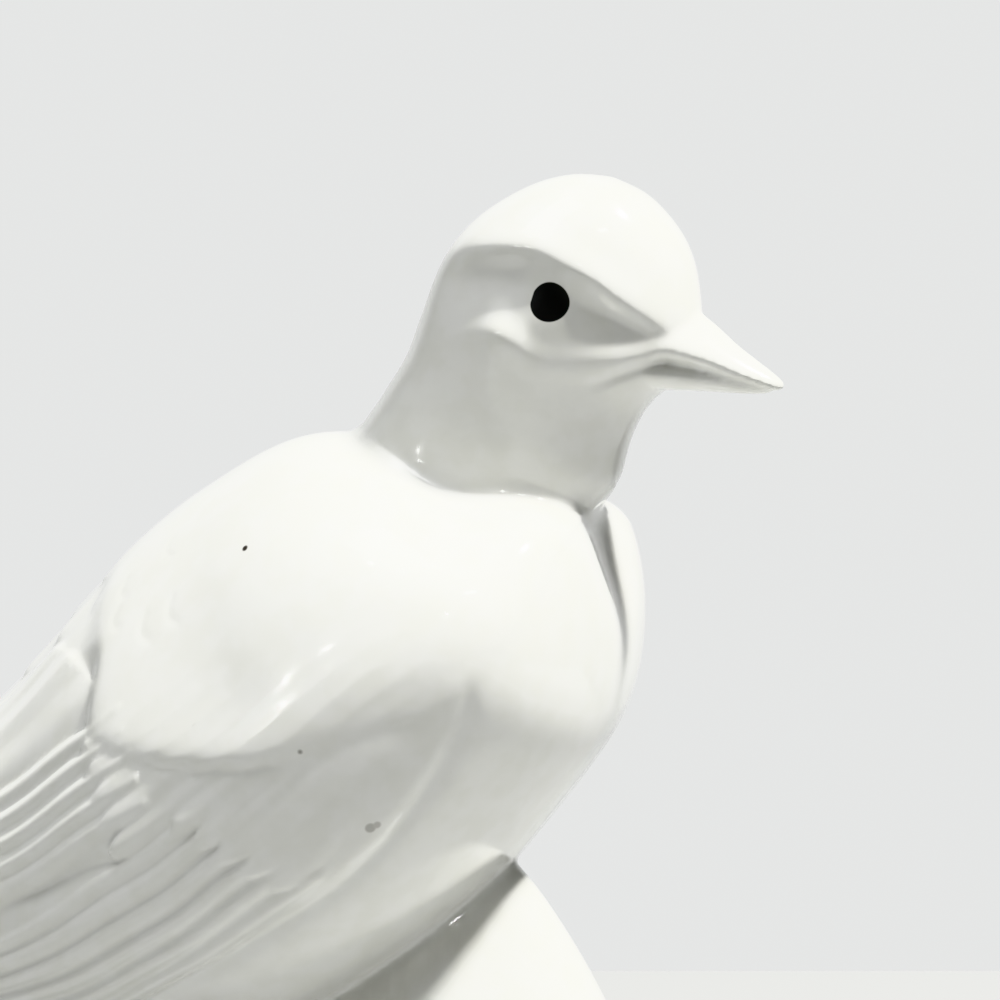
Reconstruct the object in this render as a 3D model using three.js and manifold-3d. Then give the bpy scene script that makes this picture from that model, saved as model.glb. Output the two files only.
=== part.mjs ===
// Ceramic dove figurine: a white glazed dove resting on a smooth mound, cast in one piece.
// Millimetres, +Z up. The beak points along +X and the bird is mirrored about the XZ plane.
// The origin is the middle of the mound's flat underside.

import * as THREE from 'three';
import { mergeVertices } from 'three/addons/utils/BufferGeometryUtils.js';
import Module from 'manifold-3d';

const wasm = await Module();
wasm.setup();

const { lerp, clamp, smoothstep, degToRad } = THREE.MathUtils;

// Cross-sections of the body, from the tail's end to the root of the neck.
// Each has a point [x, z] on the back, one on the underside, the half width between them,
// and how far its widest place is drawn up towards the back.
const bodySections = [
  { back: [-131, 29], front: [-131, 29], half: 0, lean: 0 },
  { back: [-129.5, 32], front: [-129, 25], half: 17, lean: 0 },
  { back: [-121, 37], front: [-119, 23], half: 21, lean: 0 },
  { back: [-108, 45.5], front: [-104, 21], half: 21.5, lean: 0 },
  { back: [-96, 54.8], front: [-88, 20], half: 23, lean: -0.05 },
  { back: [-83.4, 67], front: [-67, 19.5], half: 27.5, lean: -0.12 },
  { back: [-66.8, 83.2], front: [-41, 22], half: 33, lean: -0.2 },
  { back: [-51.2, 100.3], front: [-17, 32.4], half: 37, lean: -0.25 },
  { back: [-36.2, 113], front: [3.4, 47.6], half: 38.3, lean: -0.27 },
  { back: [-20, 121.7], front: [19.5, 66.2], half: 37.9, lean: -0.24 },
  { back: [-6, 120.8], front: [28.4, 79.6], half: 35.5, lean: -0.16 },
  { back: [8, 114.8], front: [30.8, 93], half: 30, lean: -0.06 },
  { back: [19.5, 114], front: [29.4, 105.2], half: 20.5, lean: 0 },
  { back: [27.2, 111.6], front: [27.2, 111.6], half: 0, lean: 0 },
];

// Cross-sections of the neck and head, from inside the breast to the crown.
const headSections = [
  { back: [6, 98], front: [6, 98], half: 0, lean: 0 },
  { back: [-11, 108], front: [24, 99], half: 15.4, lean: 0 },
  { back: [-11.8, 120.6], front: [26, 109], half: 15, lean: 0 },
  { back: [-7.2, 128.4], front: [29.6, 115.5], half: 14.6, lean: 0 },
  { back: [-3.4, 133.8], front: [30.8, 121], half: 14.6, lean: 0 },
  { back: [-0.9, 139.8], front: [33.4, 126.4], half: 15.2, lean: 0 },
  { back: [1.4, 145.8], front: [38.5, 131.6], half: 15.7, lean: 0 },
  { back: [3.5, 149.8], front: [41.4, 137.5], half: 15.6, lean: 0 },
  { back: [6.9, 153.7], front: [41.3, 144], half: 14.6, lean: 0 },
  { back: [11.3, 156.9], front: [40, 149.5], half: 12.8, lean: 0 },
  { back: [17.1, 159.7], front: [37.4, 153.9], half: 10, lean: 0 },
  { back: [22.8, 160.9], front: [33.4, 157.9], half: 6.2, lean: 0 },
  { back: [28.4, 160.5], front: [28.4, 160.5], half: 0, lean: 0 },
];

// Cross-sections of the beak's two halves, from inside the face to the tip.
const upperBeakSections = [
  { back: [26, 138], front: [26, 138], half: 0, lean: 0 },
  { back: [32, 141.2], front: [31.5, 133], half: 10, lean: -0.3 },
  { back: [39, 142], front: [38.5, 132.6], half: 8, lean: -0.4 },
  { back: [43.4, 139.3], front: [43.2, 132], half: 5.4, lean: -0.5 },
  { back: [47.4, 135.8], front: [47.2, 130.9], half: 3.9, lean: -0.5 },
  { back: [50.6, 133.4], front: [50.5, 130], half: 2.8, lean: -0.5 },
  { back: [53.3, 131.3], front: [53.3, 129.3], half: 1.7, lean: -0.3 },
  { back: [54.5, 130], front: [54.5, 130], half: 0, lean: 0 },
];
const lowerBeakSections = [
  { back: [27, 133], front: [27, 133], half: 0, lean: 0 },
  { back: [33, 135], front: [34, 129.6], half: 8, lean: 0 },
  { back: [42, 133.8], front: [42.3, 129.1], half: 4.4, lean: 0 },
  { back: [48, 131.8], front: [48.4, 128.8], half: 2.5, lean: 0 },
  { back: [51.6, 130.6], front: [51.8, 128.9], half: 1.3, lean: 0 },
  { back: [53, 129.7], front: [53, 129.7], half: 0, lean: 0 },
];

// The mound: [half length along X, height] up its side, and its width as a share of its
// length at the foot and at the top.
const moundProfile = [
  [38, 0],
  [39, 1.2],
  [38.7, 4],
  [36.6, 13],
  [32.8, 24],
  [26.4, 38.5],
  [19.1, 50.5],
  [12.4, 58.5],
  [6, 63],
];
const moundTop = 64;
const moundShare = { foot: 0.85, top: 0.45 };

// The furrow down the breast: a spindle-shaped cut between two [x, z] ends, its widest place
// drawn forward of the line between them.
const furrow = { top: [27, 118], foot: [31.8, 90], depth: 4, half: 7, forward: 1.6 };

// The face: the brow line above and the lid line below the eye socket, as [x, z] points.
const browLine = [
  [3, 147.4],
  [9, 148.6],
  [15, 149],
  [20, 148.5],
  [24.5, 147],
  [29, 144.6],
  [33, 141.8],
  [39, 138],
];
const lidLine = [
  [3, 138.5],
  [9, 139.3],
  [15, 141.2],
  [18.5, 139.8],
  [21, 136.4],
  [24.5, 135.2],
  [31, 135.4],
  [39, 135],
];
const brow = { rise: 0.6, below: 2, spread: 2.4 };
const socket = { depth: 2.1, from: [2, 12], to: [33, 41] };
const eye = { x: 23.5, z: 142, radius: 3.8, rise: 1.2 };
const lidBulge = { x: 17.6, z: 137.4, radius: 4, rise: 1 };

// The wing. Places on the body are given by a station from 0 at the tail's end to 1 at the
// neck, and an angle in degrees down the side: 0 on the back, 90 on the flank, 180 below.
const wing = {
  rise: 1.7,
  back: 15,
  flank: 60,
  front: 0.735,
  lowEdge: 127,
  climbStart: 0.46,
  climbEnd: 0.16,
  tipAngle: 88,
  tipSpread: 0.5,
};
const cap = {
  front: 0.8,
  edge: 0.537,
  bend: 67,
  lowEnd: 117,
  reach: 0.14,
  notch: 0.015,
  height: 3.6,
  onBack: 0.25,
  sink: 1.3,
};

// Rows of feathers on one side. Each pair of numbers holds for the row's upper and lower end,
// and lift is the height of the grooves over the wing at the roots and at the tips.
const primaries = {
  count: 6,
  columns: 3,
  rows: 7,
  root: [0.585, 0.62],
  tip: [0.34, 0.2],
  rootAngle: [95, 127],
  tipAngle: [94, 126],
  lift: [0, 0.2],
  crown: 0.7,
  notch: 0.02,
};
const secondaries = {
  count: 5,
  columns: 3,
  rows: 5,
  root: [0.56, 0.56],
  tip: [0.36, 0.39],
  rootAngle: [66, 94],
  tipAngle: [58, 84],
  lift: [0.4, 1.2],
  crown: 0.7,
  notch: 0.012,
};
const tertials = {
  count: 3,
  columns: 3,
  rows: 4,
  root: [0.5, 0.555],
  tip: [0.34, 0.3],
  rootAngle: [25.5, 65.5],
  tipAngle: [22.5, 59],
  lift: [0.2, 1],
  crown: 0.65,
  notch: 0.02,
};
const coverts = {
  count: 5,
  columns: 3,
  rows: 3,
  root: [0.6, 0.63],
  tip: [0.53, 0.53],
  rootAngle: [67.5, 96.5],
  tipAngle: [67.5, 96.5],
  lift: [-0.3, 1.4],
  crown: 0.5,
  notch: 0.012,
};
const primaryCoverts = {
  count: 5,
  columns: 3,
  rows: 3,
  root: [0.65, 0.69],
  tip: [0.57, 0.6],
  rootAngle: [93.5, 123],
  tipAngle: [94.5, 125],
  lift: [-1, 1],
  crown: 0.5,
  notch: 0.012,
};
const mantle = { rows: 4, tip: 0.537, rowStep: 0.034, span: 56, pitch: 16, length: 0.06 };
const tailCoverts = { rows: 3, tip: 0.375, rowStep: 0.045, span: 44, pitch: 17, length: 0.09 };
const scale = { lift: [-0.8, 0.6], crown: 0.6, notch: 0.014 };
const tail = {
  count: 9,
  rootX: -86,
  tipX: -137,
  rootHalf: 12,
  tipHalf: 24,
  rootTop: 57,
  rootUnder: 36,
  tipTop: 30.4,
  tipUnder: 27.6,
  droop: 2.5,
  crown: 0.7,
  notch: 2.2,
};

const glazeColour = 0xf1f2ee;

// A smooth line through [x, z] points.
function lineThrough(points) {
  return new THREE.CatmullRomCurve3(
    points.map(([x, z]) => new THREE.Vector3(x, 0, z)),
    false,
    'catmullrom',
  );
}

function sectionCurves(sections) {
  return {
    back: lineThrough(sections.map((section) => section.back)),
    front: lineThrough(sections.map((section) => section.front)),
    girth: lineThrough(sections.map((section) => [section.half, section.lean])),
  };
}

// The point at a station and an angle in radians on a body given by its sections.
function sectionPoint(curves, station, angle) {
  const at = clamp(station, 0, 1);
  const back = curves.back.getPoint(at);
  const front = curves.front.getPoint(at);
  const girth = curves.girth.getPoint(at);
  const point = back.clone().add(front).multiplyScalar(0.5);
  point.addScaledVector(back.sub(front), 0.5 * Math.cos(angle));
  point.y = Math.max(girth.x, 0) * Math.sin(angle + girth.z * Math.sin(angle));
  return point;
}

// Moves every vertex of a geometry to where shape(vertex, uv) puts it.
function reshape(geometry, shape) {
  const { position, uv } = geometry.attributes;
  const vertex = new THREE.Vector3();
  const place = new THREE.Vector2();
  for (let i = 0; i < position.count; i += 1) {
    vertex.fromBufferAttribute(position, i);
    place.fromBufferAttribute(uv, i);
    const moved = shape(vertex, place);
    position.setXYZ(i, moved.x, moved.y, moved.z);
  }
  return geometry;
}

// A closed skin over a row of sections, with its vertices passed through finish.
function skin(sections, around, along, finish = (point) => point) {
  const curves = sectionCurves(sections);
  const ball = new THREE.SphereGeometry(1, around, along);
  return reshape(ball, (vertex, place) => {
    const angle = Math.PI * 2 * place.x;
    return finish(sectionPoint(curves, 1 - place.y, angle));
  });
}

// A closed solid from a geometry whose faces meet all round.
function solid(geometry) {
  const bare = geometry.clone();
  bare.deleteAttribute('normal');
  bare.deleteAttribute('uv');
  const merged = mergeVertices(bare, 1e-4);
  const index = merged.index.array;
  const triangles = [];
  for (let i = 0; i < index.length; i += 3) {
    const [a, b, c] = [index[i], index[i + 1], index[i + 2]];
    if (a !== b && b !== c && c !== a) triangles.push(a, b, c);
  }
  return new wasm.Manifold(
    new wasm.Mesh({
      numProp: 3,
      vertProperties: new Float32Array(merged.attributes.position.array),
      triVerts: new Uint32Array(triangles),
    }),
  );
}

// The same geometry on the bird's other side.
function mirrored(geometry) {
  const copy = geometry.clone().scale(1, -1, 1);
  const index = copy.index.array;
  for (let i = 0; i < index.length; i += 3) {
    [index[i], index[i + 1]] = [index[i + 1], index[i]];
  }
  return copy;
}

const bodyCurves = sectionCurves(bodySections);

// A point on the body's surface, lifted off it by some millimetres.
function onBody(station, angle, lift) {
  const radians = degToRad(angle);
  const step = 0.004;
  const along = sectionPoint(bodyCurves, station + step, radians)
    .sub(sectionPoint(bodyCurves, station - step, radians));
  const across = sectionPoint(bodyCurves, station, radians + step)
    .sub(sectionPoint(bodyCurves, station, radians - step));
  const outward = along.cross(across).normalize();
  return sectionPoint(bodyCurves, station, radians).addScaledVector(outward, lift);
}

// The wing's lines run along the body and then climb to the upper edge of the tail.
function climbed(station, angle) {
  const share = smoothstep(wing.climbStart - station, 0, wing.climbStart - wing.climbEnd);
  const end = wing.tipAngle + (angle - wing.lowEdge) * wing.tipSpread;
  return lerp(angle, Math.min(angle, end), share);
}

// How far the folded wing stands off the body: it runs out into the breast and over the back.
function wingRise(station, angle) {
  const breast = 1 - smoothstep(station, wing.front - 0.1, wing.front);
  return wing.rise * breast * smoothstep(Math.abs(angle), wing.back, wing.flank);
}

// A closed slab laid on the body. shape(u, v) gives station, angle and lift for u and v from
// 0 to 1, and the slab reaches from there down to the given depth inside the body.
function slab(along, across, depth, shape) {
  const box = new THREE.BoxGeometry(1, 1, 1, along, across, 1);
  return reshape(box, (vertex) => {
    const place = shape(vertex.x + 0.5, 0.5 - vertex.y);
    const lift = vertex.z > 0 ? place.lift : -depth;
    return onBody(place.station, place.angle, lift);
  });
}

// Across a row of feathers, how far up the rounded back of its own feather a place is.
function roundedBack(place) {
  const across = 2 * (place - Math.floor(place)) - 1;
  return 1 - across * across;
}

// A row of feathers laid side by side on the body: grooves between rounded backs and tips.
function featherRow(row) {
  return slab(row.rows, row.count * row.columns, 3, (u, v) => {
    const across = (pair) => lerp(pair[0], pair[1], v);
    const back = roundedBack(v * row.count);
    const tip = across(row.tip) + row.notch * (1 - Math.sqrt(back));
    const share = u ** 0.8;
    const station = lerp(across(row.root), tip, share);
    const angle = lerp(across(row.rootAngle), across(row.tipAngle), share);
    const lift = lerp(row.lift[0], row.lift[1], share) + row.crown * back;
    return { station, angle: climbed(station, angle), lift: wingRise(station, angle) + lift };
  });
}

// The station of the shoulder cap's rear and lower edge at an angle.
function capEdge(angle) {
  const turned = clamp((angle - cap.bend) / (cap.lowEnd - cap.bend), 0, 1);
  const notch = cap.notch * (1 - smoothstep(angle, 50, cap.bend));
  return cap.edge + notch + cap.reach * turned ** 1.4;
}

// The shoulder cap: a smooth shell over both shoulders that runs out into the breast and neck.
function shoulderCap() {
  return slab(5, 20, 2.5, (u, v) => {
    const angle = lerp(-cap.lowEnd, cap.lowEnd, v);
    const side = Math.abs(angle);
    const flank = smoothstep(side, 36, 72) * (1 - 0.7 * smoothstep(side, 93, cap.lowEnd));
    const height = cap.height * lerp(cap.onBack, 1, flank);
    const station = lerp(cap.front, capEdge(side), u);
    return { station, angle, lift: height * u ** 1.4 - cap.sink * (1 - u) };
  });
}

// The front of the folded wing, that the coverts lie on and that runs out into the breast.
function wingFront() {
  return slab(5, 4, 3, (u, v) => {
    const station = lerp(wing.front, 0.5, u);
    const frontEdge = wing.lowEdge - 9 * smoothstep(station, 0.65, wing.front);
    const angle = lerp(wing.flank, frontEdge, v);
    return { station, angle, lift: wingRise(station, angle) - 0.2 * (1 - u) };
  });
}

// Rows of scale feathers across the back, each row set half a feather aside of the last.
function scaleRows(group) {
  const rows = [];
  for (let k = 0; k < group.rows; k += 1) {
    const span = group.span - (k * group.pitch) / 2;
    const tip = group.tip - group.rowStep * k;
    rows.push(featherRow({
      count: Math.round((2 * span) / group.pitch),
      columns: 3,
      rows: 2,
      root: [tip + group.length, tip + group.length],
      tip: [tip, tip],
      rootAngle: [-span, span],
      tipAngle: [-span, span],
      ...scale,
    }));
  }
  return rows;
}

// The tail's flat feathers, fanned and laid side by side over its end.
function tailFan() {
  const fan = new THREE.BoxGeometry(1, 1, 1, 3, tail.count * 3, 1);
  return reshape(fan, (vertex) => {
    const across = vertex.y * 2;
    const back = roundedBack((vertex.y + 0.5) * tail.count);
    const share = (vertex.x + 0.5) ** 0.8;
    const tipX = tail.tipX + 3 * across * across + tail.notch * (1 - Math.sqrt(back));
    const fall = lerp(0.5, tail.droop, share) * across * across;
    const top = lerp(tail.rootTop, tail.tipTop, share) + 1.6 * (1 - share) * share;
    const under = lerp(tail.rootUnder, tail.tipUnder, share);
    const z = (vertex.z > 0 ? top + tail.crown * back : under) - fall;
    return new THREE.Vector3(
      lerp(tail.rootX, tipX, share),
      -across * lerp(tail.rootHalf, tail.tipHalf, share),
      z,
    );
  });
}

// The spindle that is cut from the breast to make its furrow.
function furrowCut() {
  const [topX, topZ] = furrow.top;
  const [footX, footZ] = furrow.foot;
  const spindle = new THREE.SphereGeometry(1, 12, 10).rotateX(Math.PI / 2);
  spindle.scale(furrow.depth, furrow.half, Math.hypot(topX - footX, topZ - footZ) / 2);
  spindle.rotateY(Math.atan2(topX - footX, topZ - footZ));
  return spindle.translate((topX + footX) / 2 + furrow.forward, 0, (topZ + footZ) / 2);
}

// The height of a line of [x, z] points at x.
function heightAt(line, x) {
  let i = 0;
  while (i < line.length - 2 && x > line[i + 1][0]) i += 1;
  const share = clamp((x - line[i][0]) / (line[i + 1][0] - line[i][0]), 0, 1);
  return lerp(line[i][1], line[i + 1][1], share);
}

// How far a round bulge rises at a point.
function roundRise(point, bulge, power) {
  const away = Math.hypot(point.x - bulge.x, point.z - bulge.z) / bulge.radius;
  return bulge.rise * Math.exp(-(away ** power));
}

// The carving of the face: brow, eye socket, eyeball and lower lid, on both sides.
function faceRelief(point) {
  const browHeight = heightAt(browLine, point.x);
  const below = browHeight - point.z;
  const share = below / Math.max(browHeight - heightAt(lidLine, point.x), 1);
  const fade = smoothstep(point.x, ...socket.from) * (1 - smoothstep(point.x, ...socket.to));
  const hollow = socket.depth * smoothstep(below, -0.6, 1.6) * clamp(1 - share, 0, 1) ** 0.7;
  const browRise = brow.rise * Math.exp(-(((below + brow.below) / brow.spread) ** 2));
  const relief = (browRise - hollow) * fade + roundRise(point, eye, 4) + roundRise(point, lidBulge, 2);
  point.y += Math.sign(point.y) * relief * smoothstep(Math.abs(point.y), 1, 9);
  return point;
}

// The mound under the bird: a smooth oval dome with a flat underside.
function mound() {
  const side = new THREE.CatmullRomCurve3(
    moundProfile.map(([radius, height]) => new THREE.Vector3(radius, height, 0)),
    false,
    'catmullrom',
  );
  const profile = [new THREE.Vector2(0, 0)];
  for (const point of side.getPoints(9)) profile.push(new THREE.Vector2(point.x, point.y));
  profile.push(new THREE.Vector2(0, moundTop));
  const lathe = new THREE.LatheGeometry(profile, 24).rotateX(Math.PI / 2);
  return reshape(lathe, (vertex) => {
    const share = lerp(moundShare.foot, moundShare.top, vertex.z / moundTop);
    return vertex.clone().setY(vertex.y * share);
  });
}

function bird() {
  const oneSide = [wingFront()];
  for (const row of [primaries, secondaries, tertials, coverts, primaryCoverts]) {
    oneSide.push(featherRow(row));
  }
  const pieces = [
    skin(headSections, 28, 29, faceRelief),
    skin(upperBeakSections, 12, 9),
    skin(lowerBeakSections, 12, 7),
    shoulderCap(),
    ...oneSide,
    ...oneSide.map(mirrored),
    ...scaleRows(mantle),
    ...scaleRows(tailCoverts),
    tailFan(),
    mound(),
  ];
  let joined = solid(skin(bodySections, 28, 29)).subtract(solid(furrowCut()));
  for (const piece of pieces) joined = joined.add(solid(piece));
  return joined;
}

function meshOf(name, shape, material) {
  const { vertProperties, triVerts } = shape.getMesh();
  const geometry = new THREE.BufferGeometry();
  geometry.setAttribute('position', new THREE.BufferAttribute(vertProperties, 3));
  geometry.setIndex(new THREE.BufferAttribute(triVerts, 1));
  geometry.computeVertexNormals();
  const mesh = new THREE.Mesh(geometry, material);
  mesh.name = name;
  return mesh;
}

const glaze = new THREE.MeshStandardMaterial({ color: glazeColour, roughness: 0.12, metalness: 0 });

const figurine = new THREE.Group();
figurine.add(meshOf('dove_figurine', bird(), glaze));

export default figurine;
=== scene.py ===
import math
import bpy
import numpy as np
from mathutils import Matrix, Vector
from mathutils.bvhtree import BVHTree


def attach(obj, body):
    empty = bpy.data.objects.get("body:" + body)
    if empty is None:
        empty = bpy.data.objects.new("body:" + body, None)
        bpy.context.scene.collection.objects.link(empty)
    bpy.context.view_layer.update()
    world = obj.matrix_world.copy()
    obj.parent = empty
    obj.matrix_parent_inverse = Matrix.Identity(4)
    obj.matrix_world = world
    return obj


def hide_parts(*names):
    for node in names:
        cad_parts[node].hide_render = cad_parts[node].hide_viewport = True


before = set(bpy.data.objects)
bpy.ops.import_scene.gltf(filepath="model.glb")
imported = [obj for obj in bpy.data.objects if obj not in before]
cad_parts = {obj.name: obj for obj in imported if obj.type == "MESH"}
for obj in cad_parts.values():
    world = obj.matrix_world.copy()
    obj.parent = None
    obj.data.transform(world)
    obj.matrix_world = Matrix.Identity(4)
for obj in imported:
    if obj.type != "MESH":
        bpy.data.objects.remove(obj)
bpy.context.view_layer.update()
bpy.ops.object.select_all(action="DESELECT")
print("frame loaded")

# Lengths are in millimetres and angles in degrees.
# The beak points along +X and both sides of the bird are alike.
mm = 0.001


# camera, table and light

view = {
    "azimuth": 18,  # round from the bird's right side towards its front
    "elevation": 4,
    "target": (11, 0, 112.5),
    "distance": 420,
    "spanAtTarget": 150,  # what the picture's width takes in at the target
    "sensor": 36,
    "nearest": 10,
}
table = {
    "behind": 166,  # its far edge shows low in the picture
    "size": 760,
    "colour": (0.28, 0.283, 0.28),
    "roughness": 0.55,
}
studio = {
    "room": (0.03, 0.031, 0.031),
    "wall": (0.84, 0.849, 0.843),  # the pale wall the camera looks at
    "wallSpread": (0.5, 0.8),  # cosine of the angle off the view where it begins and is full
    "fill": (2.5, 2.525, 2.55),  # a bright patch high behind the camera
    "fillFrom": (-45, 70),  # azimuth, elevation
    "fillSpread": (0.8, 1),
}
daylight = (1, 0.995, 0.98)
# name, azimuth, elevation, distance, width, height, watts, colour
lamps = [
    ("key", 91, 61, 1300, 120, 120, 54, (1, 0.99, 0.965)),
    ("side", -45, 70, 1200, 500, 500, 3.5, (1, 1, 1)),
    ("window", 36, 50, 1200, 150, 50, 0.8, daylight),
    ("low lamp", 15, 28, 1200, 30, 30, 0.45, daylight),
    ("near lamp", -35, 24, 1200, 50, 26, 0.3, daylight),
    ("left lamp", -42, 19, 1200, 26, 40, 0.3, daylight),
    ("high lamp", -46, 56, 1200, 26, 26, 0.3, daylight),
]


# one output of a shader node, that plain arithmetic can be done with
class Wire:
    def __init__(self, shader, socket):
        self.shader = shader
        self.socket = socket

    def __add__(self, other):
        return self.shader.maths("ADD", self, other)

    def __sub__(self, other):
        return self.shader.maths("SUBTRACT", self, other)

    def __mul__(self, other):
        return self.shader.maths("MULTIPLY", self, other)

    def __truediv__(self, other):
        return self.shader.maths("DIVIDE", self, other)

    def __radd__(self, other):
        return self.shader.maths("ADD", other, self)

    def __rsub__(self, other):
        return self.shader.maths("SUBTRACT", other, self)

    def __rmul__(self, other):
        return self.shader.maths("MULTIPLY", other, self)

    def __rtruediv__(self, other):
        return self.shader.maths("DIVIDE", other, self)


class Shader:
    def __init__(self, tree):
        self.tree = tree

    # a node of some kind: its settings first, then its inputs as numbers or wires
    def node(self, kind, settings=None, inputs=None, output=0):
        made = self.tree.nodes.new(kind)
        for name, value in (settings or {}).items():
            setattr(made, name, value)
        self.feed(made, inputs or {})
        return Wire(self, made.outputs[output])

    def feed(self, node, inputs):
        for name, value in inputs.items():
            if isinstance(value, Wire):
                self.tree.links.new(value.socket, node.inputs[name])
            else:
                node.inputs[name].default_value = value

    def maths(self, operation, *values):
        return self.node("ShaderNodeMath", {"operation": operation}, dict(enumerate(values)))

    # from 0 at one end of a range to 1 at the other, slow at both
    def ramp(self, value, start, end):
        return self.node("ShaderNodeMapRange", {"interpolation_type": "SMOOTHSTEP"}, {
            "Value": value, "From Min": start, "From Max": end,
        })

    # from colour a to colour b by a share from 0 to 1
    def mix(self, share, a, b):
        a, b = (value if isinstance(value, Wire) else (*value[:3], 1) for value in (a, b))
        settings = {"data_type": "RGBA", "clamp_factor": True}
        return self.node("ShaderNodeMix", settings, {0: share, 6: a, 7: b}, output=2)


def towards(azimuth, elevation):
    a, e = math.radians(azimuth), math.radians(elevation)
    return Vector((math.sin(a) * math.cos(e), -math.cos(a) * math.cos(e), math.sin(e)))


def aim(obj, place, target):
    obj.location = place
    obj.rotation_euler = (Vector(target) - Vector(place)).to_track_quat("-Z", "Y").to_euler()


def makeCamera():
    bpy.ops.object.camera_add()
    camera = bpy.context.object
    camera.data.sensor_width = view["sensor"]
    camera.data.lens = view["sensor"] * view["distance"] / view["spanAtTarget"]
    camera.data.clip_start = view["nearest"] * mm
    target = Vector(view["target"]) * mm
    away = towards(view["azimuth"], view["elevation"]) * view["distance"] * mm
    aim(camera, target + away, target)
    bpy.context.scene.camera = camera


def makeTable():
    bpy.ops.mesh.primitive_plane_add(size=table["size"] * mm)
    top = bpy.context.object
    top.name = "table"
    top.rotation_euler = (0, 0, math.radians(view["azimuth"]))
    top.location = towards(view["azimuth"], 0) * (table["size"] / 2 - table["behind"]) * mm
    look = bpy.data.materials.new("pale table")
    look.use_nodes = True
    Shader(look.node_tree).feed(look.node_tree.nodes["Principled BSDF"], {
        "Base Color": (*table["colour"], 1), "Roughness": table["roughness"],
    })
    top.data.materials.append(look)


# a bright wall behind the bird, as the camera sees it, in a dimmer room
def makeWall():
    world = bpy.data.worlds.new("wall and room")
    world.use_nodes = True
    bpy.context.scene.world = world
    shader = Shader(world.node_tree)
    ray = shader.node("ShaderNodeTexCoord", output="Generated")

    def glow(direction, spread):
        both = {0: ray, 1: tuple(direction)}
        along = shader.node("ShaderNodeVectorMath", {"operation": "DOT_PRODUCT"}, both, "Value")
        return shader.ramp(along, *spread)

    fill = glow(towards(*studio["fillFrom"]), studio["fillSpread"])
    wall = glow(-towards(view["azimuth"], view["elevation"]), studio["wallSpread"])
    colour = shader.mix(fill, studio["room"], studio["fill"])
    colour = shader.mix(wall, colour, studio["wall"])
    shader.feed(world.node_tree.nodes["Background"], {"Color": colour})


def makeLight():
    target = Vector(view["target"]) * mm
    for name, azimuth, elevation, distance, width, height, watts, colour in lamps:
        bpy.ops.object.light_add(type="AREA")
        lamp = bpy.context.object
        lamp.name = name
        lamp.data.shape = "RECTANGLE"
        lamp.data.size = width * mm
        lamp.data.size_y = height * mm
        lamp.data.energy = watts
        lamp.data.color = colour
        aim(lamp, target + towards(azimuth, elevation) * distance * mm, target)
    makeWall()
    bpy.context.scene.view_settings.view_transform = "Khronos PBR Neutral"
    print("light set:", len(lamps), "lamps")


# the bird's forms, as cross-sections from one end to the other:
# back x, back z, underside x, underside z, half width, lean of the widest place to the back

bodySections = [
    (-131, 29, -131, 29, 0, 0),
    (-129.5, 32, -129, 25, 17, 0),
    (-121, 37, -119, 23, 21, 0),
    (-108, 45.5, -104, 21, 21.5, 0),
    (-96, 54.8, -88, 20, 23, -0.05),
    (-83.4, 67, -67, 19.5, 27.5, -0.12),
    (-66.8, 83.2, -41, 22, 33, -0.2),
    (-51.2, 100.3, -17, 32.4, 37, -0.25),
    (-36.2, 113, 3.4, 47.6, 38.3, -0.27),
    (-20, 121.7, 19.5, 66.2, 37.9, -0.24),
    (-6, 120.8, 28.4, 79.6, 35.5, -0.16),
    (8, 114.8, 30.8, 93, 30, -0.06),
    (19.5, 114, 29.4, 105.2, 20.5, 0),
    (27.2, 111.6, 27.2, 111.6, 0, 0),
]
headSections = [
    (6, 98, 6, 98, 0, 0),
    (-11, 108, 24, 99, 15.4, 0),
    (-11.8, 120.6, 26, 109, 15, 0),
    (-7.2, 128.4, 29.6, 115.5, 14.6, 0),
    (-3.4, 133.8, 30.8, 121, 14.6, 0),
    (-0.9, 139.8, 33.4, 126.4, 15.2, 0),
    (1.4, 145.8, 38.5, 131.6, 15.7, 0),
    (3.5, 149.8, 41.4, 137.5, 15.6, 0),
    (6.9, 153.7, 41.3, 144, 14.6, 0),
    (11.3, 156.9, 40, 149.5, 12.8, 0),
    (17.1, 159.7, 37.4, 153.9, 10, 0),
    (22.8, 160.9, 33.4, 157.9, 6.2, 0),
    (28.4, 160.5, 28.4, 160.5, 0, 0),
]
upperBeakSections = [
    (26, 138, 26, 138, 0, 0),
    (32, 141.2, 31.5, 133, 10, -0.3),
    (39, 142, 38.5, 132.6, 8, -0.4),
    (43.4, 139.3, 43.2, 132, 5.4, -0.5),
    (47.4, 135.8, 47.2, 130.9, 3.9, -0.5),
    (50.6, 133.4, 50.5, 130, 2.8, -0.5),
    (53.3, 131.3, 53.3, 129.3, 1.7, -0.3),
    (54.5, 130, 54.5, 130, 0, 0),
]
lowerBeakSections = [
    (27, 133, 27, 133, 0, 0),
    (33, 135, 34, 129.6, 8, 0),
    (42, 133.8, 42.3, 129.1, 4.4, 0),
    (48, 131.8, 48.4, 128.8, 2.5, 0),
    (51.6, 130.6, 51.8, 128.9, 1.3, 0),
    (53, 129.7, 53, 129.7, 0, 0),
]
mound = {
    "profile": [
        (38, 0), (39, 1.2), (38.7, 4), (36.6, 13), (32.8, 24),
        (26.4, 38.5), (19.1, 50.5), (12.4, 58.5), (6, 63), (0, 64),
    ],  # half length along X, height
    "footShare": 0.85,  # its width as a share of its length
    "topShare": 0.45,
    "top": 64,
    "around": 128,
    "rings": 96,
    "sideRings": 0.8,  # share of the rings that make the side, the rest make the underside
}
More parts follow.
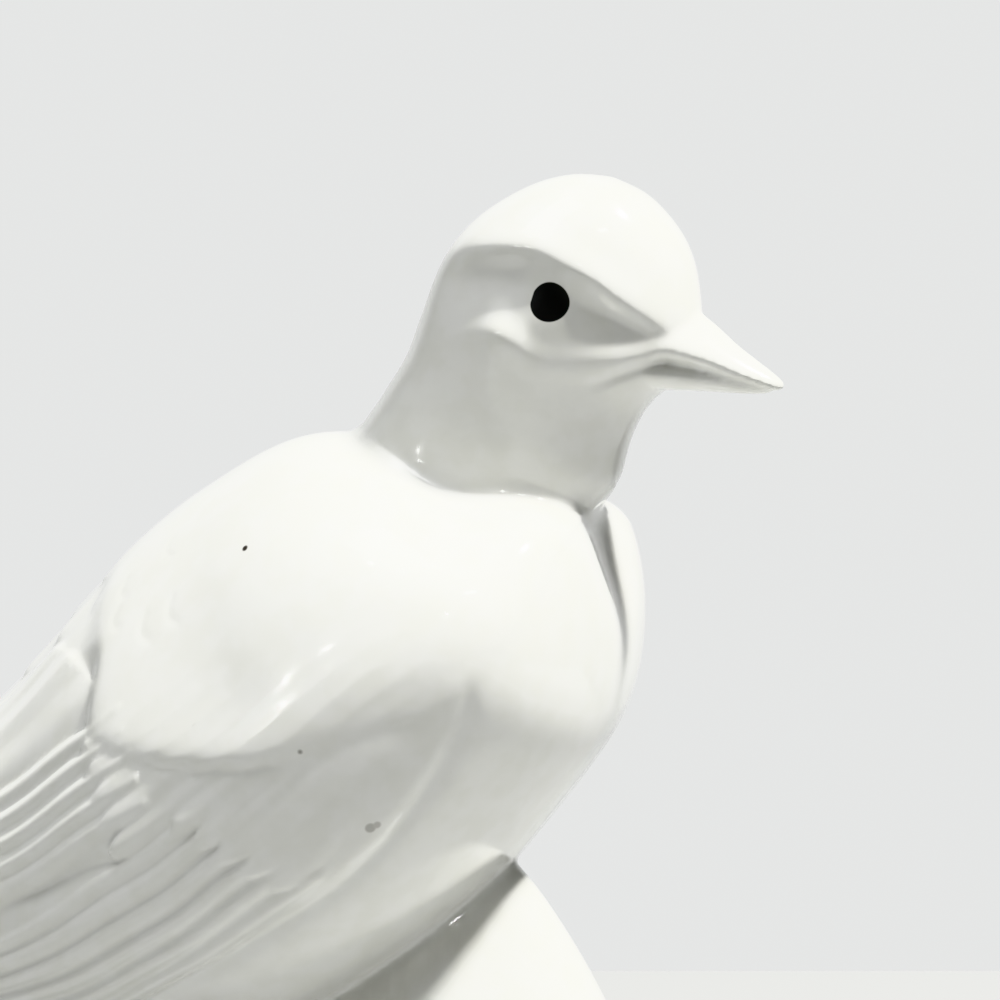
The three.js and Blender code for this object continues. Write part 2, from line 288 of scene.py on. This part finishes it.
tail = {
    "count": 9,  # feathers
    "rootX": -86,
    "tipX": -137,
    "rootHalf": 12,
    "tipHalf": 24,
    "rootTop": 57,
    "rootUnder": 36,
    "tipTop": 30.4,
    "tipUnder": 27.6,
    "rootDroop": 0.5,  # how far its sides hang below its middle
    "tipDroop": 2.5,
    "sweep": 3,
    "arch": 1.6,
    "notch": 2.2,
    "crown": 0.7,
    "skin": (-3, 0),  # depth below its top where the feathers' relief begins and is full
    "fade": 8,
    "cuts": 80,
}
grooveShape = 1.5  # 1 makes the grooves between feathers sharp and 2 makes them soft


def lerp(a, b, share):
    return a + (b - a) * share


def smooth(low, high, value):
    share = np.clip((value - low) / (high - low), 0, 1)
    return share * share * (3 - 2 * share)


# 1 from full to fade, and 0 before start and after end
def band(value, start, full, fade, end):
    return smooth(start, full, value) * (1 - smooth(fade, end, value))


# a smooth line through evenly spaced rows of numbers
def lineAt(rows, share):
    rows = np.asarray(rows, float)
    rows = np.vstack([2 * rows[0] - rows[1], rows, 2 * rows[-1] - rows[-2]])
    place = np.clip(share, 0, 1) * (len(rows) - 3)
    k = np.minimum(place.astype(int), len(rows) - 4)
    f = (place - k)[..., None]
    a, b, c, d = rows[k], rows[k + 1], rows[k + 2], rows[k + 3]
    return b + 0.5 * f * (c - a + f * (2 * a - 5 * b + 4 * c - d + f * (3 * (b - c) + d - a)))


def skinPoints(sections, station, angle):
    row = lineAt(sections, station)
    back, under, half, lean = row[..., 0:2], row[..., 2:4], row[..., 4], row[..., 5]
    middle = (back + under) / 2 + (back - under) / 2 * np.cos(angle)[..., None]
    y = np.maximum(half, 0) * np.sin(angle + lean * np.sin(angle))
    return np.stack([middle[..., 0], y, middle[..., 1]], -1)


def readPoints(obj):
    flat = np.empty(len(obj.data.vertices) * 3)
    obj.data.vertices.foreach_get("co", flat)
    return flat.reshape(-1, 3)


def readNormals(obj):
    flat = np.empty(len(obj.data.vertices) * 3, dtype=np.float32)
    obj.data.vertex_normals.foreach_get("vector", flat)
    return flat.reshape(-1, 3).astype(float)


def writePoints(obj, points):
    obj.data.vertices.foreach_set("co", np.ascontiguousarray(points, dtype=float).ravel())
    obj.data.update()


# how far down a ball its points are, from 0 at the top to 1 below, and how far round it
def ballPlaces(obj):
    x, y, z = readPoints(obj).T
    return np.arccos(np.clip(z, -1, 1)) / math.pi, np.arctan2(y, x)


# a ball drawn out into a skin over cross-sections
def addSkin(name, sections, around, rings):
    bpy.ops.mesh.primitive_uv_sphere_add(segments=around, ring_count=rings)
    skin = bpy.context.object
    skin.name = name
    writePoints(skin, skinPoints(sections, *ballPlaces(skin)) * mm)
    return skin


# a ball drawn out into the mound, with its lower half pressed flat
def addMound():
    bpy.ops.mesh.primitive_uv_sphere_add(segments=mound["around"], ring_count=mound["rings"])
    hill = bpy.context.object
    hill.name = "mound"
    down, turn = ballPlaces(hill)
    onSide = down < mound["sideRings"]
    side = lineAt(mound["profile"][::-1], down / mound["sideRings"])
    inward = (1 - down) / (1 - mound["sideRings"])
    radius = np.where(onSide, side[:, 0], mound["profile"][0][0] * inward)
    height = np.where(onSide, side[:, 1], 0)
    share = lerp(mound["footShare"], mound["topShare"], height / mound["top"])
    points = np.stack([radius * np.cos(turn), radius * share * np.sin(turn), height], -1)
    writePoints(hill, points * mm)
    return hill


# the backs of feathers side by side, one for each whole number
def roundedBack(place):
    return np.abs(np.sin(math.pi * place)) ** grooveShape


def addTail():
    bpy.ops.mesh.primitive_cube_add(size=1)
    fan = bpy.context.object
    fan.name = "tail"
    bpy.ops.object.mode_set(mode="EDIT")
    bpy.ops.mesh.subdivide(number_cuts=tail["cuts"])
    bpy.ops.object.mode_set(mode="OBJECT")
    x, y, z = readPoints(fan).T
    across = y * 2
    back = roundedBack((y + 0.5) * tail["count"])
    share = 0.5 - x
    tipX = tail["tipX"] + tail["sweep"] * across**2 + tail["notch"] * (1 - np.sqrt(back))
    top = lerp(tail["rootTop"], tail["tipTop"], share) + tail["arch"] * (1 - share) * share
    under = lerp(tail["rootUnder"], tail["tipUnder"], share)
    fall = lerp(tail["rootDroop"], tail["tipDroop"], share) * across**2
    points = np.stack([
        lerp(tail["rootX"], tipX, share),
        across * lerp(tail["rootHalf"], tail["tipHalf"], share),
        lerp(under, top, z + 0.5) - fall,
    ], -1)
    writePoints(fan, points * mm)
    return fan


def applyModifier(obj, name, kind, **settings):
    modifier = obj.modifiers.new(name, kind)
    for key, value in settings.items():
        setattr(modifier, key, value)
    bpy.context.view_layer.objects.active = obj
    bpy.ops.object.modifier_apply(modifier=modifier.name)


weightSteps = 20


# a vertex group, with its weights given out in steps
def setGroup(obj, name, weights):
    group = obj.vertex_groups.new(name=name)
    steps = np.round(np.clip(weights, 0, 1) * weightSteps).astype(int)
    for step in range(1, weightSteps + 1):
        chosen = np.flatnonzero(steps == step)
        if len(chosen):
            group.add(chosen.tolist(), step / weightSteps, "REPLACE")


cast = {"grain": 0.55, "triangles": 190000}


def castForms():
    forms = [
        addSkin("body", bodySections, around=192, rings=160),
        addSkin("head", headSections, around=128, rings=128),
        addSkin("upper beak", upperBeakSections, around=64, rings=64),
        addSkin("lower beak", lowerBeakSections, around=64, rings=48),
        addTail(),
        addMound(),
    ]
    bpy.ops.object.select_all(action="DESELECT")
    for form in forms:
        form.select_set(True)
    bpy.context.view_layer.objects.active = forms[0]
    bpy.ops.object.join()
    dove = bpy.context.object
    dove.name = "dove"
    dove.data.name = "dove"
    bpy.ops.object.transform_apply(location=True, rotation=True, scale=True)
    applyModifier(dove, "one skin", "REMESH", mode="VOXEL", voxel_size=cast["grain"] * mm)
    print("forms joined:", len(dove.data.polygons), "faces")
    return dove


# The neck's root and the mound's top melt into the body, and the rest is only evened out.
joins = {
    "neck": (102, 110, 125, 134),  # heights where it starts, is full, fades and ends
    "neckLean": 0.2,
    "mound": (34, 40, 66, 72),
    "moundFrom": (-34, -26),
    "moundShare": 0.05,
    "melt": {"factor": 0.9, "iterations": 90},
    "even": {"factor": 0.5, "iterations": 4},
    "beak": (40, 44),  # along X, where neither reaches the beak's tip
    "foot": (1, 3),  # heights, where evening out stops short of the foot's rim
    "tailTip": (-136, -128),  # along X, where it stops short of the tail's tip
}


def softenJoins(dove):
    x, _, z = (readPoints(dove) / mm).T
    neck = band(z + joins["neckLean"] * x, *joins["neck"])
    underBird = band(z, *joins["mound"]) * smooth(*joins["moundFrom"], x)
    loose = 1 - smooth(*joins["beak"], x)
    ends = loose * smooth(*joins["foot"], z) * smooth(*joins["tailTip"], x)
    setGroup(dove, "joins", np.maximum(neck, joins["moundShare"] * underBird) * loose)
    setGroup(dove, "even", ends)
    applyModifier(dove, "even out", "SMOOTH", vertex_group="even", **joins["even"])
    applyModifier(dove, "soften joins", "SMOOTH", vertex_group="joins", **joins["melt"])
    dove.vertex_groups.clear()
    print("joins softened")


# the carving, raised or sunk from the soft form
# Places on the body are a station, from 0 at the tail's end to 1 at the neck, and an angle
# down the side, from 0 on the back to 180 below.

perStation = 300  # millimetres on the wing
perDegree = 0.66
steep = 1.6  # slope of a feather's edge

wing = {
    "rise": 1.7,
    "back": 15,
    "flank": 60,
    "front": 0.735,
    "frontFade": 0.1,
    "lowEdge": [
        (0.4, 124), (0.5, 122.5), (0.58, 126), (0.65, 129.5), (0.7, 127.5), (0.73, 123), (0.76, 116),
    ],
    "edgeSlope": 0.8,
    "edgeRounding": 1.2,
    "climbStart": 0.46,
    "climbEnd": 0.16,
    "climb": 0.5,
    "still": 44,  # the angle above which nothing climbs
    "tailEnd": (0.1, 0.2),
    "skin": (1.06, 1.14),  # how far out of the body the carving fades
}
wander = [  # how unevenly the lines were drawn: degrees, waves along, waves across, start
    (0.35, 41, 0.13, 0),
    (0.2, 97, 0, 1.7),
]
melt = {"rows": 0.4, "skin": 0.6, "cap": 0.5}  # how far one height runs into the next

# the hollow below the wing's edge, over a span of stations
edgeGroove = {"span": (0.45, 0.5, 0.715, 0.765), "depth": 0.5, "half": 2.1, "below": 1.6}

# the smooth shoulder, which ends in a rounded edge over the feathers
cap = {
    "front": 0.8,
    "edge": 0.537,
    "height": 3.4,
    "swell": 1.8,
    "swellEnd": 1.1,  # it swells a little past its edge
    "bend": 67,  # the angle where its edge turns forward
    "sweep": 46,
    "sweepEnd": 1.05,  # share of the sweep where it turns no further
    "reach": 0.16,
    "reachPower": 1.5,
    "notch": 0.015,
    "notchFrom": 50,
    "scallop": 0.0035,
    "pitch": 5.2,
    "scallopsFrom": (60, 76),
    "onBack": 0.3,  # share of its height
    "sides": (19, 75),
    "lowStart": 93,
    "lowEnd": 118,
    "lowSink": 0.85,
    "edgeSlope": 0.8,
    "softSlope": 0.3,
    "steepens": (46, 68),
    "rounding": 1.4,
}

# rows of feathers: stations and angles of a row's upper and lower end, at the feathers'
# roots and tips, and how high they lie at root and tip
primaries = {
    "count": 6, "root": (0.585, 0.62), "tip": (0.34, 0.2),
    "rootAngle": (95, 127), "tipAngle": (94, 122.5),
    "lift": (0, 0.2), "crown": 0.8, "notch": 0.02,
}
secondaries = {
    "count": 5, "root": (0.56, 0.56), "tip": (0.36, 0.39),
    "rootAngle": (66, 92), "tipAngle": (58, 84),
    "lift": (0.4, 1.1), "crown": 0.65, "notch": 0.012,
}
tertials = {
    "count": 3, "root": (0.5, 0.555), "tip": (0.34, 0.3),
    "rootAngle": (25.5, 65.5), "tipAngle": (22.5, 58),
    "lift": (0.1, 0.5), "crown": 0.4, "notch": 0.02,
}
coverts = {
    "count": 5, "root": (0.6, 0.63), "tip": (0.53, 0.53),
    "rootAngle": (67.5, 96.5), "tipAngle": (67.5, 96.5),
    "lift": (-0.3, 1), "crown": 0.35, "notch": 0.012,
}
primaryCoverts = {
    "count": 5, "root": (0.66, 0.7), "tip": (0.565, 0.6),
    "rootAngle": (93.5, 123), "tipAngle": (94.5, 124),
    "lift": (-1, 1), "crown": 0.25, "notch": 0.01,
}
feather = {
    "rounding": 0.9,
    "rootSlope": 0.4,
    "lastPlace": 0.9999,  # just inside the row's lower end, where the last back comes down
}

# rows of short feathers across the back
mantle = {"rows": 4, "tip": 0.537, "rowStep": 0.034, "span": 56, "pitch": 16, "length": 0.06}
tailCoverts = {"rows": 3, "tip": 0.375, "rowStep": 0.045, "span": 44, "pitch": 17, "length": 0.09}
scale = {"lift": (-0.6, 0.5), "crown": 0.45, "notch": 0.014}
bare = -9.0  # lower than any feather

# faint rounded ends of feathers pressed into the smooth cap
marks = {
    "places": [(0.575, 39), (0.57, 47), (0.59, 56), (0.61, 57), (0.61, 37)],
    "radius": 2.3, "half": 0.8, "depth": 0.07, "behind": (-0.3, 1.2),
}

# a short hollow between the secondaries and the primaries
slit = {
    "front": (0.53, 95), "rear": (0.47, 88.5),
    "span": (0.46, 0.48, 0.524, 0.536), "half": 1.7, "depth": 0.8,
}

# how places on the body are found
chart = {
    "ends": (0.01, 0.99),
    "stations": 161,
    "batches": 60,  # points are taken a part at a time to save memory
    "slack": 0.2,  # how far past a section's ends a point may still lie on it
    "shortest": 0.01,
    "closest": 1e-9,
    "thinnest": 0.5,
    "passes": 2,
}


def rounded(value, radius):
    return (value + np.sqrt(value**2 + radius**2)) / 2


# the higher of two heights, with the corner between them filled
def merge(a, b, radius):
    return np.maximum(a, b) + np.maximum(radius - np.abs(a - b), 0) ** 2 / (4 * radius)


def groove(distance, half, depth):
    return -depth * np.exp(-((distance / half) ** 2))


# which cross-section of the body each point lies on
def stationsOf(flatPoints):
    stations = np.linspace(*chart["ends"], chart["stations"])
    rows = lineAt(bodySections, stations)
    back, span = rows[:, 0:2], rows[:, 2:4] - rows[:, 0:2]
    length = np.maximum(np.hypot(*span.T), chart["shortest"])
    slack = chart["slack"]
    found = []
    for part in np.array_split(flatPoints, chart["batches"]):
        away = part[:, None] - back
        off = (span[:, 0] * away[..., 1] - span[:, 1] * away[..., 0]) / length
        along = (away * span).sum(-1) / length**2
        near = (along > -slack) & (along < 1 + slack)
        passed = (off[:, :-1] * off[:, 1:] <= 0) & near[:, :-1]
        k = np.where(passed.any(1), passed.argmax(1), np.abs(off[:, :-1]).argmin(1))
        every = np.arange(len(part))
        a, b = off[every, k], off[every, k + 1]
        apart = np.where(np.abs(a - b) < chart["closest"], chart["closest"], a - b)
        step = np.clip(a / apart, 0, 1)
        found.append(lerp(*chart["ends"], (k + step) / (chart["stations"] - 1)))
    return np.concatenate(found)


# stations and angles of points near the body, and how far out they lie: 1 on its skin
def bodyChart(points):
    flatPoints = points[:, [0, 2]]
    station = stationsOf(flatPoints)
    row = lineAt(bodySections, station)
    span = row[:, 2:4] - row[:, 0:2]
    long = np.maximum((span**2).sum(1), chart["shortest"])
    along = ((flatPoints - row[:, 0:2]) * span).sum(1) / long
    up = 1 - 2 * along
    out = np.abs(points[:, 1]) / np.maximum(row[:, 4], chart["thinnest"])
    angle = np.arctan2(out, up)
    for _ in range(chart["passes"]):
        leaned = np.sin(angle + row[:, 5] * np.sin(angle))
        angle = np.arctan2(out * np.sin(angle) / np.maximum(leaned, chart["shortest"]), up)
    return station, np.degrees(angle), np.hypot(out, up)


# The wing's lines climb to the tail's upper edge, and this lays them level again.
def levelled(station, angle):
    share = smooth(0, wing["climbStart"] - wing["climbEnd"], wing["climbStart"] - station)
    climb = wing["climb"] * share
    level = (angle - wing["still"] * climb) / (1 - climb)
    return np.where(angle < wing["still"], angle, level)


def wingRise(station, angle):
    breast = 1 - smooth(wing["front"] - wing["frontFade"], wing["front"], station)
    return wing["rise"] * breast * smooth(wing["back"], wing["flank"], angle)


# a row of feathers side by side: grooves between rounded backs and tips
def featherRow(row, station, angle):
    share = np.clip((row["root"][0] - station) / (row["root"][0] - row["tip"][0]), 0, 1)
    high = lerp(row["rootAngle"][0], row["tipAngle"][0], share)
    low = lerp(row["rootAngle"][1], row["tipAngle"][1], share)
    place = np.clip((angle - high) / (low - high), 0, feather["lastPlace"])
    back = roundedBack(place * row["count"])
    tip = lerp(*row["tip"], place) + row["notch"] * (1 - np.sqrt(back))
    root = lerp(*row["root"], place)
    share = np.clip((root - station) / (root - tip), 0, 1)
    height = lerp(*row["lift"], share) + row["crown"] * back
    beyond = (tip - station) * perStation
    aside = np.maximum(high - angle, angle - low) * perDegree
    before = np.maximum(station - root, 0) * perStation
    fall = steep * rounded(np.maximum(beyond, aside), feather["rounding"])
    return height - fall - feather["rootSlope"] * before


def scaleRows(group, station, angle):
    height = bare
    for k in range(group["rows"]):
        span = group["span"] - k * group["pitch"] / 2
        tip = group["tip"] - group["rowStep"] * k
        row = dict(scale, count=round(2 * span / group["pitch"]), tip=(tip, tip))
        row["root"] = (tip + group["length"],) * 2
        row["rootAngle"] = row["tipAngle"] = (-span, span)
        height = merge(height, featherRow(row, station, angle), melt["rows"])
    return height


def capEdge(angle):
    turned = np.clip((angle - cap["bend"]) / cap["sweep"], 0, cap["sweepEnd"])
    notch = cap["notch"] * (1 - smooth(cap["notchFrom"], cap["bend"], angle))
    scallops = cap["scallop"] * np.abs(np.sin(math.pi * angle / cap["pitch"]))
    scallops = scallops * smooth(*cap["scallopsFrom"], angle)
    return cap["edge"] + notch + cap["reach"] * turned ** cap["reachPower"] - scallops


def shoulderCap(station, angle):
    edge = capEdge(angle)
    share = np.clip((cap["front"] - station) / (cap["front"] - edge), 0, cap["swellEnd"])
    low = 1 - cap["lowSink"] * smooth(cap["lowStart"], cap["lowEnd"], angle)
    side = lerp(cap["onBack"], 1, smooth(*cap["sides"], angle))
    height = cap["height"] * side * low * share ** cap["swell"]
    behind = (edge - station) * perStation * cap["edgeSlope"]
    below = (angle - cap["lowEnd"]) * perDegree
    slope = lerp(cap["softSlope"], steep, smooth(*cap["steepens"], angle) * low)
    return height - slope * rounded(np.maximum(behind, below), cap["rounding"])


def tipMarks(station, angle):
    height = 0
    for markStation, markAngle in marks["places"]:
        back = (markStation - station) * perStation
        away = np.hypot(back, (angle - markAngle) * perDegree)
        mark = groove(away - marks["radius"], marks["half"], marks["depth"])
        height = height + mark * smooth(*marks["behind"], back)
    return height


def edgeHollow(station, under):
    hollow = groove(under - edgeGroove["below"], edgeGroove["half"], edgeGroove["depth"])
    return hollow * band(station, *edgeGroove["span"])


def slitHollow(station, angle):
    share = (slit["front"][0] - station) / (slit["front"][0] - slit["rear"][0])
    across = (angle - lerp(slit["front"][1], slit["rear"][1], share)) * perDegree
    return groove(across, slit["half"], slit["depth"]) * band(station, *slit["span"])


def plumage(y, station, angle, out):
    bothSides = np.where(y < 0, -angle, angle)
    level = levelled(station, angle)
    for size, alongWaves, acrossWaves, start in wander:
        level = level + size * np.sin(alongWaves * station + acrossWaves * level + start)
    rise = wingRise(station, level)
    under = (level - np.interp(station, *np.transpose(wing["lowEdge"]))) * perDegree
    height = rise - wing["edgeSlope"] * rounded(under, wing["edgeRounding"])
    for row in (primaries, secondaries, tertials, coverts, primaryCoverts):
        height = merge(height, rise + featherRow(row, station, level), melt["rows"])
    for group in (mantle, tailCoverts):
        height = merge(height, scaleRows(group, station, bothSides), melt["rows"])
    height = merge(height, 0, melt["skin"])
    height = merge(height, shoulderCap(station, angle), melt["cap"])
    height = height + tipMarks(station, angle)
    height = height + edgeHollow(station, under) + slitHollow(station, level)
    return height * (1 - smooth(*wing["skin"], out)) * smooth(*wing["tailEnd"], station)


# the furrow down the breast, from the throat down
furrow = {
    "top": 117,
    "foot": 89,
    "depth": 2.6,
    "deepest": 0.35,  # share of the way down
    "half": 12,
    "footShare": 0.2,  # its width at the foot as a share of its width at the top
    "front": (12, 20),
}


def breastFurrow(x, y, z):
    down = (furrow["top"] - z) / (furrow["top"] - furrow["foot"])
    depth = furrow["depth"] * band(down, 0, furrow["deepest"], furrow["deepest"], 1)
    half = furrow["half"] * lerp(1, furrow["footShare"], np.clip(down, 0, 1))
    return groove(y, half, depth) * smooth(*furrow["front"], x)


# the face: its lines are [x, z] points, and its spans are along X
browLine = [
    (3, 147.4), (9, 148.6), (15, 149), (20, 148.5),
    (24.5, 147), (29, 144.6), (33, 141.8), (40, 137.6),
]
lidLine = [
    (3, 138.5), (9, 139.4), (15, 139.6), (18.5, 138),
    (21, 136.2), (24.5, 135.2), (31, 135.4), (40, 135),
]
mouthLine = [
    (20, 127.5), (24.2, 128.9), (31, 131.5), (36.3, 133.4),
    (39.6, 133.3), (43.9, 132.2), (49.7, 130.6),
]
socket = {
    "depth": 1.9,
    "across": (-0.15, 0.42, 0.4, 1.3),  # shares of the way from brow to lid
    "narrowest": 1.5,
    "span": (2, 12, 30, 41),
}
brow = {"height": 0.55, "half": 2.4, "above": 2}
lid = {"height": 0.3, "half": 2.6, "below": 2.1, "span": (9, 16, 28, 38)}
mouth = {"depth": 0.8, "half": 0.9, "below": 0.4, "span": (26, 34, 42, 47)}
eyeball = {"x": 23.3, "z": 141.6, "radius": 4.7, "height": 1.3, "power": 2.6}
eyeCorner = {"x": 17.2, "z": 137, "radius": 5, "height": 0.7, "power": 2}
faceSides = (1, 8)  # distance from the middle where the face's relief begins and is full
lineSteps = 90


def heightAt(line, x):
    return np.interp(x, *lineAt(line, np.linspace(0, 1, lineSteps)).T)


def bump(x, z, lump):
    far = np.hypot(x - lump["x"], z - lump["z"]) / lump["radius"]
    return lump["height"] * np.exp(-(far ** lump["power"]))


def faceRelief(x, y, z):
    browZ, lidZ = heightAt(browLine, x), heightAt(lidLine, x)
    below = (browZ - z) / np.maximum(browZ - lidZ, socket["narrowest"])
    relief = -socket["depth"] * band(below, *socket["across"])
    relief = relief - groove(z - browZ - brow["above"], brow["half"], brow["height"])
    relief = relief * band(x, *socket["span"])
    ridge = -groove(z - lidZ + lid["below"], lid["half"], lid["height"])
    relief = relief + ridge * band(x, *lid["span"])
    relief = relief + bump(x, z, eyeball) + bump(x, z, eyeCorner)
    line = groove(z - heightAt(mouthLine, x) + mouth["below"], mouth["half"], mouth["depth"])
    relief = relief + line * band(x, *mouth["span"])
    return relief * smooth(*faceSides, np.abs(y)) * np.sign(y)


def tailRelief(x, y, z):
    along = np.clip((tail["rootX"] - x) / (tail["rootX"] - tail["tipX"]), 0, 1)
    across = np.clip(y / lerp(tail["rootHalf"], tail["tipHalf"], along), -1, 1)
    back = roundedBack((across + 1) / 2 * tail["count"])
    top = lerp(tail["rootTop"], tail["tipTop"], along)
    behindRoot = smooth(tail["rootX"] + tail["fade"], tail["rootX"] - tail["fade"], x)
    return tail["crown"] * back * smooth(*tail["skin"], z - top) * behindRoot


feathered = {"above": (2, 6), "behind": (36, 44)}  # off the mound's foot and off the beak


def carve(dove):
    points = readPoints(dove) / mm
    x, y, z = points.T
    onBird = smooth(*feathered["above"], z) * (1 - smooth(*feathered["behind"], x))
    height = plumage(y, *bodyChart(points)) * onBird
    carved = points + readNormals(dove) * height[:, None]
    carved[:, 0] += breastFurrow(x, y, z)
    carved[:, 1] += faceRelief(x, y, z)
    carved[:, 2] += tailRelief(x, y, z)
    writePoints(dove, carved * mm)
    print("carved")


shelter = {
    "rays": 30,
    "reach": 45,
    "start": 0.2,
    "graze": 0.05,  # rays that leave a surface flatter than this don't count
    "passes": 6,
    "hanging": (-0.7, -0.1),  # upward share of a normal where the painted shade begins and is full; faces looking down get none
}


# how much of its surroundings each point can't see, kept as the attribute the glaze is darkened by:
# painted shade in recesses, where shadow falls
def paintHollowShade(dove):
    mesh = dove.data
    points = readPoints(dove)
    normals = readNormals(dove)
    edges = np.empty(len(mesh.edges) * 2, dtype=np.int32)
    mesh.edges.foreach_get("vertices", edges)
    edges = edges.reshape(-1, 2)
    tree = BVHTree.FromPolygons(points.tolist(), [polygon.vertices[:] for polygon in mesh.polygons])
    goldenAngle = math.pi * (3 - math.sqrt(5))
    heights = 1 - (np.arange(shelter["rays"]) + 0.5) * 2 / shelter["rays"]
    turns = np.arange(shelter["rays"]) * goldenAngle
    across = np.sqrt(1 - heights**2)
    rays = np.stack([across * np.cos(turns), across * np.sin(turns), heights], -1)
    facing = np.maximum(normals @ rays.T - shelter["graze"], 0)
    starts = points + normals * shelter["start"] * mm
    hidden = np.zeros(len(points))
    for ray, weights in zip(rays, facing.T):
        way = Vector(ray)
        for i in np.flatnonzero(weights):
            if tree.ray_cast(starts[i], way, shelter["reach"] * mm)[0] is not None:
                hidden[i] += weights[i]
    hidden /= facing.sum(1)
    count = np.bincount(edges.ravel(), minlength=len(points))
    for _ in range(shelter["passes"]):
        around = np.bincount(edges[:, 0], hidden[edges[:, 1]], len(points))
        around += np.bincount(edges[:, 1], hidden[edges[:, 0]], len(points))
        hidden = (hidden + around / count) / 2
    # painted shade is kept off faces that look down
    hidden *= smooth(*shelter["hanging"], normals[:, 2])
    attribute = mesh.attributes.new("hollow", "FLOAT", "POINT")
    attribute.data.foreach_set("value", hidden.astype(np.float32))
    print("hollows marked")


glaze = {
    "white": (0.78, 0.785, 0.755),
    "thin": (0.75, 0.755, 0.715),  # where it has run thin over the relief
    "cloud": {"size": 5, "detail": 2, "middle": 0.5, "edge": 0.16, "roughness": 0.03},
    # painted shade: the darker colour laid into recesses, where shadow falls
    "paintedShade": (0.4, 0.39, 0.33),
    "paintedShadeRange": (0.2, 0.7),  # how hollow a place is where the painted shade begins and is full
    "roughness": 0.12,
    "coat": 0.5,
    "coatRoughness": 0.05,
    "wave": {"size": 9, "detail": 1, "height": 0.035},
    "grain": 0.5,
}
eyePaint = {
    "x": 23.3,
    "z": 142.1,
    "radius": 2.85,
    "left": 2.8,  # where its rear edge is cut straight
    "slant": 0.25,
    "inside": 5,  # it is only farther out than this from the middle
    "edge": 0.1,
    "black": (0.004, 0.004, 0.004),
    "roughness": 0.3,
}
specks = [  # place, radius, colour
    ((-18.9, -27.1, 106.7), 0.5, (0.05, 0.045, 0.04)),  # a pinhole
    ((3.7, -36.1, 68.8), 0.75, (0.46, 0.455, 0.425)),
    ((4.6, -35.8, 69.2), 0.55, (0.5, 0.495, 0.465)),
    ((-5.1, -40.4, 79.7), 0.35, (0.3, 0.295, 0.27)),
]
speckEdge = 0.22
foot = {"top": 0.9, "edge": 0.15, "bisque": (0.62, 0.59, 0.54), "roughness": 0.75}


def makeGlaze(dove):
    look = bpy.data.materials.new("white glaze")
    look.use_nodes = True
    shader = Shader(look.node_tree)
    place = shader.node("ShaderNodeTexCoord", output="Object")
    split = shader.node("ShaderNodeSeparateXYZ", inputs={0: place})
    x, y, z = (Wire(shader, split.socket.node.outputs[k]) / mm for k in range(3))

    # 1 where a value is under a limit, with an edge a little soft
    def under(value, limit, edge):
        return shader.ramp(value, limit + edge, limit - edge)

    def noise(settings):
        return shader.node("ShaderNodeTexNoise", {"noise_dimensions": "3D"}, {
            "Vector": place, "Scale": 1 / (settings["size"] * mm),
            "Detail": settings["detail"], "Roughness": glaze["grain"],
        }, "Fac")

    hollow = shader.node("ShaderNodeAttribute", {"attribute_name": "hollow"}, output="Fac")
    cloud = under(noise(glaze["cloud"]), glaze["cloud"]["middle"], glaze["cloud"]["edge"])
    colour = shader.mix(cloud, glaze["white"], glaze["thin"])
    # painted shade in recesses, by the hollow attribute
    colour = shader.mix(shader.ramp(hollow, *glaze["paintedShadeRange"]), colour, glaze["paintedShade"])
    for spot, radius, dark in specks:
        both = {0: place, 1: tuple(c * mm for c in spot)}
        off = shader.node("ShaderNodeVectorMath", {"operation": "DISTANCE"}, both, "Value") / mm
        colour = shader.mix(under(off, radius, speckEdge), colour, dark)
    unglazed = under(z, foot["top"], foot["edge"])
    colour = shader.mix(unglazed, colour, foot["bisque"])

    across, up = x - eyePaint["x"], z - eyePaint["z"]
    far = shader.maths("SQRT", across * across + up * up)
    rear = -1 * across + eyePaint["slant"] * up
    dot = under(far, eyePaint["radius"], eyePaint["edge"])
    dot = dot * under(rear, eyePaint["left"], eyePaint["edge"])
    dot = dot * shader.maths("GREATER_THAN", shader.maths("ABSOLUTE", y), eyePaint["inside"])

    roughness = glaze["roughness"] + cloud * glaze["cloud"]["roughness"]
    roughness = roughness + dot * eyePaint["roughness"] + unglazed * foot["roughness"]
    ripple = shader.node("ShaderNodeBump", inputs={
        "Strength": 1, "Distance": glaze["wave"]["height"] * mm, "Height": noise(glaze["wave"]),
    })
    shader.feed(look.node_tree.nodes["Principled BSDF"], {
        "Base Color": shader.mix(dot, colour, eyePaint["black"]),
        "Roughness": roughness,
        "Coat Weight": glaze["coat"] * (1 - dot) * (1 - unglazed),
        "Coat Roughness": glaze["coatRoughness"],
        "Normal": ripple,
    })
    dove.data.materials.append(look)
    print("glazed")


makeCamera()
makeTable()
makeLight()
dove = castForms()
softenJoins(dove)
carve(dove)
applyModifier(dove, "thin out", "DECIMATE", ratio=cast["triangles"] / (2 * len(dove.data.polygons)))
print("triangles:", sum(len(polygon.vertices) - 2 for polygon in dove.data.polygons))
bpy.ops.object.shade_smooth()
paintHollowShade(dove)
makeGlaze(dove)
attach(dove, "root")
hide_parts("dove_figurine")
